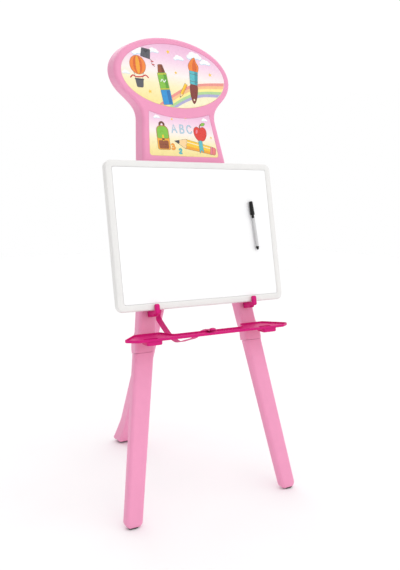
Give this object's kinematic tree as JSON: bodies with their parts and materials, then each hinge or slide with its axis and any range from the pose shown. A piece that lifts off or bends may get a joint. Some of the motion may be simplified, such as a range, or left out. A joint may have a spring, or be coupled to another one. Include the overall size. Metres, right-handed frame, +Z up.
{
  "type": "kids easel",
  "caption": "Three-legged children's easel with a framed dry-wipe board on hooks, a pictured header, a narrow tray, a folding rear leg with a stay strap, and a capped marker.",
  "frame": {"origin": "centre of the bounding box at floor level", "axes": "+Z up, -Y towards the child standing at the board, +X to that child's right"},
  "size_m": [0.5404, 0.6351, 1.292],
  "materials": {
    "pink_plastic": "satin moulded polypropylene",
    "magenta_plastic": "satin moulded polypropylene",
    "strap_plastic": "flexible moulded strap",
    "picture_card": "printed label with a clear film",
    "frame_white": "fine matt moulded plastic",
    "writing_white": "gloss dry-wipe film",
    "rubber": "matt rubber",
    "steel": "zinc-plated",
    "black_plastic": "satin",
    "grey_plastic": "satin"
  },
  "bodies": {
    "front_frame": {"board_bumper_left": "rubber", "board_bumper_right": "rubber", "board_hook_left": "magenta_plastic", "board_hook_right": "magenta_plastic", "foot_pad_left": "rubber", "foot_pad_right": "rubber", "header_back_cover": "pink_plastic", "header_screw_1": "steel", "header_screw_2": "steel", "header_screw_3": "steel", "header_screw_4": "steel", "header_shell": "pink_plastic", "hinge_bracket": "magenta_plastic", "hinge_pin": "steel", "knee_screw_left": "steel", "knee_screw_right": "steel", "lower_leg_left": "pink_plastic", "lower_leg_right": "pink_plastic", "lower_picture": "picture_card", "oval_picture": "picture_card", "strap": "strap_plastic", "strap_button_tray": "magenta_plastic", "tray": "magenta_plastic", "tray_screw_left_1": "steel", "tray_screw_left_2": "steel", "tray_screw_right_1": "steel", "tray_screw_right_2": "steel", "upper_leg_left": "pink_plastic", "upper_leg_right": "pink_plastic"},
    "rear_leg_body": {"foot_pad_rear": "rubber", "rear_leg": "pink_plastic", "strap_button_rear": "magenta_plastic"},
    "board": {"board_back": "frame_white", "board_frame": "frame_white", "writing_sheet": "writing_white"},
    "marker": {"marker_barrel": "grey_plastic", "marker_end_plug": "black_plastic", "marker_nib": "black_plastic"},
    "marker_cap_body": {"marker_cap": "black_plastic"}
  },
  "joints": [
    {"name": "rear_leg_fold", "type": "hinge", "parent": "front_frame", "child": "rear_leg_body", "pos_m": [0, -0.09781, 0.80035], "axis": [1, 0, 0], "range_deg": [-35, 0], "deforming": ["strap"]},
    {"name": "board_lift", "type": "slide", "parent": "front_frame", "child": "board", "axis": [0, 0.1857, 0.9826], "range_m": [0, 0.05]},
    {"name": "marker_pull", "type": "slide", "parent": "board", "child": "marker", "axis": [0, -0.9826, 0.1857], "range_m": [0, 0.06]},
    {"name": "marker_cap_pull", "type": "slide", "parent": "marker", "child": "marker_cap_body", "axis": [-0.061, 0.1853, 0.9808], "range_m": [0, 0.055]}
  ]
}
